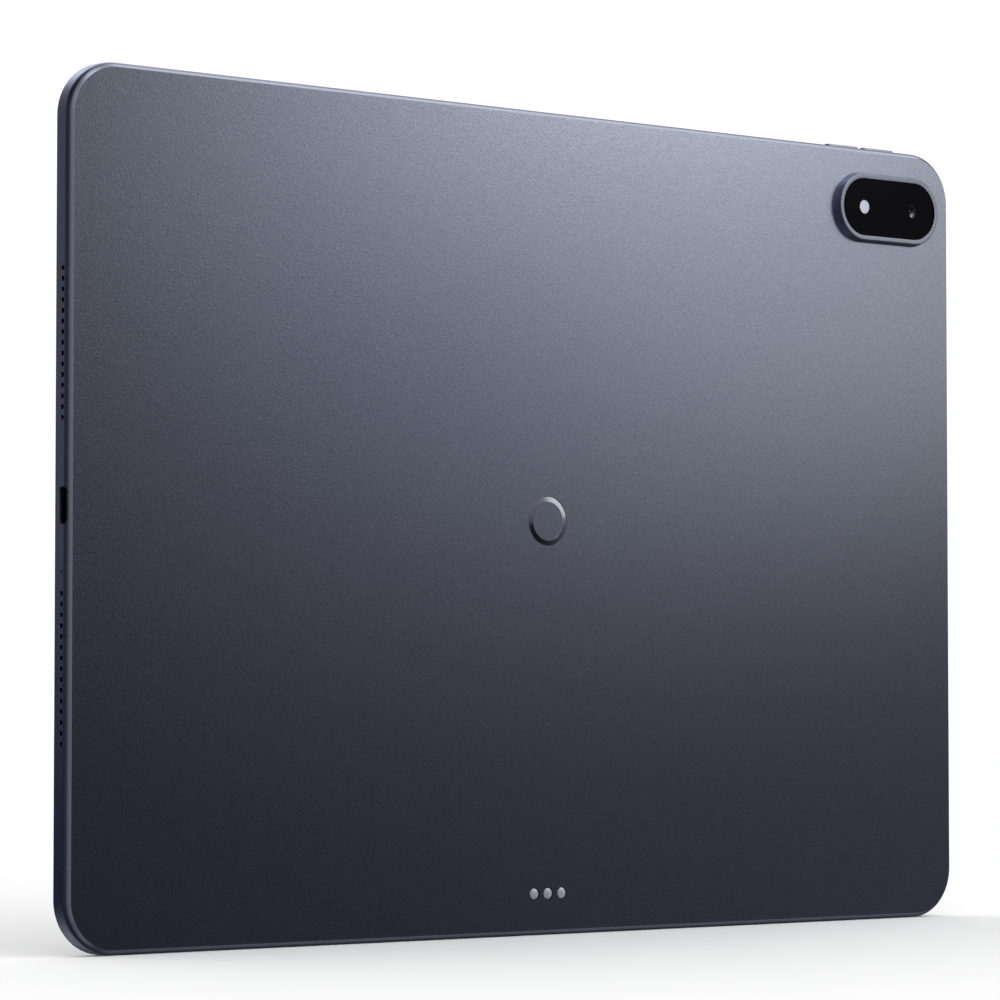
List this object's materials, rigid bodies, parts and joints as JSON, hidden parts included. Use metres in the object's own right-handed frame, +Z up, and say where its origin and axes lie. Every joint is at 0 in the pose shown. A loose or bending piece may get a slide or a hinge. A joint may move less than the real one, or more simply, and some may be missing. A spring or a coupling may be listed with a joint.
{
  "type": "tablet computer",
  "caption": "Thin flat tablet computer: aluminium housing, black glass screen, pill-shaped rear camera, edge keys, charging port and keyboard contacts.",
  "frame": {"origin": "bottom centre of the object's box, where the lower long edge stands on the floor", "axes": "+X towards the short edge with the charging port, +Y out of the aluminium back, -Y out of the screen, +Z up, towards the long edge with the volume keys"},
  "size_m": [0.2902, 0.008, 0.2102],
  "materials": {
    "anodised_body": "fine bead-blasted, blue-grey anodised",
    "front_glass": "polished, black behind the glass",
    "camera_glass": "polished, near black",
    "frame_plastic": "matte black",
    "speaker_plastic": "matte black",
    "speaker_screen": "fine woven wire, dark",
    "lcd": "dark panel",
    "backlight": "white light guide",
    "flash_diffuser": "warm white, translucent",
    "led": "ceramic with phosphor",
    "circuit_board": "dark green solder mask",
    "flex_circuit": "amber polyimide",
    "chip": "black moulded package",
    "shield": "pressed tin-plated sheet",
    "graphite": "graphite film",
    "battery_pouch": "black laminate pouch",
    "magnet": "nickel plated",
    "screws": "machined",
    "port_steel": "satin",
    "port_plastic": "matte black",
    "contact_metal": "polished, silver",
    "emblem_metal": "mirror polished"
  },
  "bodies": {
    "body": {"antenna_left": "frame_plastic", "antenna_right": "frame_plastic", "backlight_unit": "backlight", "battery_board": "circuit_board", "battery_left": "battery_pouch", "battery_right": "battery_pouch", "board_screw_1": "screws", "board_screw_2": "screws", "board_screw_3": "screws", "board_screw_4": "screws", "camera_cover_glass": "camera_glass", "camera_flex": "flex_circuit", "camera_island_ring": "anodised_body", "camera_module": "frame_plastic", "contact_carrier": "frame_plastic", "contact_flex": "flex_circuit", "contact_pad_1": "contact_metal", "contact_pad_2": "contact_metal", "contact_pad_3": "contact_metal", "cover_glass": "front_glass", "display_driver_board": "circuit_board", "display_flex": "flex_circuit", "display_frame": "frame_plastic", "display_panel": "lcd", "emblem_ring": "emblem_metal", "flash_led": "led", "flash_lens": "flash_diffuser", "front_camera_module": "frame_plastic", "heat_spreader": "graphite", "keyboard_magnet_left": "magnet", "keyboard_magnet_right": "magnet", "logic_board": "circuit_board", "microphone": "shield", "port_board": "circuit_board", "port_flex": "flex_circuit", "port_screw_1": "screws", "port_screw_2": "screws", "port_shell": "port_steel", "port_tongue": "port_plastic", "power_switch_board": "flex_circuit", "processor": "chip", "processor_shield": "shield", "radio_shield": "shield", "rear_housing": "anodised_body", "speaker_left_lower": "speaker_plastic", "speaker_left_upper": "speaker_plastic", "speaker_mesh_left_lower": "speaker_screen", "speaker_mesh_left_upper": "speaker_screen", "speaker_mesh_right_lower": "speaker_screen", "speaker_mesh_right_upper": "speaker_screen", "speaker_right_lower": "speaker_plastic", "speaker_right_upper": "speaker_plastic", "volume_switch_board": "flex_circuit"},
    "volume_up": {"volume_up_key": "anodised_body"},
    "volume_down": {"volume_down_key": "anodised_body"},
    "power": {"power_key": "anodised_body"},
    "focus_carrier": {"focus_barrel": "frame_plastic", "lens_element": "camera_glass"}
  },
  "joints": [
    {"name": "volume_up_press", "type": "slide", "parent": "body", "child": "volume_up", "axis": [0, 0, -1], "range_m": [0, 0.00025], "stiffness_N_per_m": 3000},
    {"name": "volume_down_press", "type": "slide", "parent": "body", "child": "volume_down", "axis": [0, 0, -1], "range_m": [0, 0.00025], "stiffness_N_per_m": 3000},
    {"name": "power_press", "type": "slide", "parent": "body", "child": "power", "axis": [1, 0, 0], "range_m": [0, 0.00025], "stiffness_N_per_m": 3000},
    {"name": "camera_focus", "type": "slide", "parent": "body", "child": "focus_carrier", "axis": [0, 1, 0], "range_m": [0, 0.00025], "stiffness_N_per_m": 400}
  ]
}
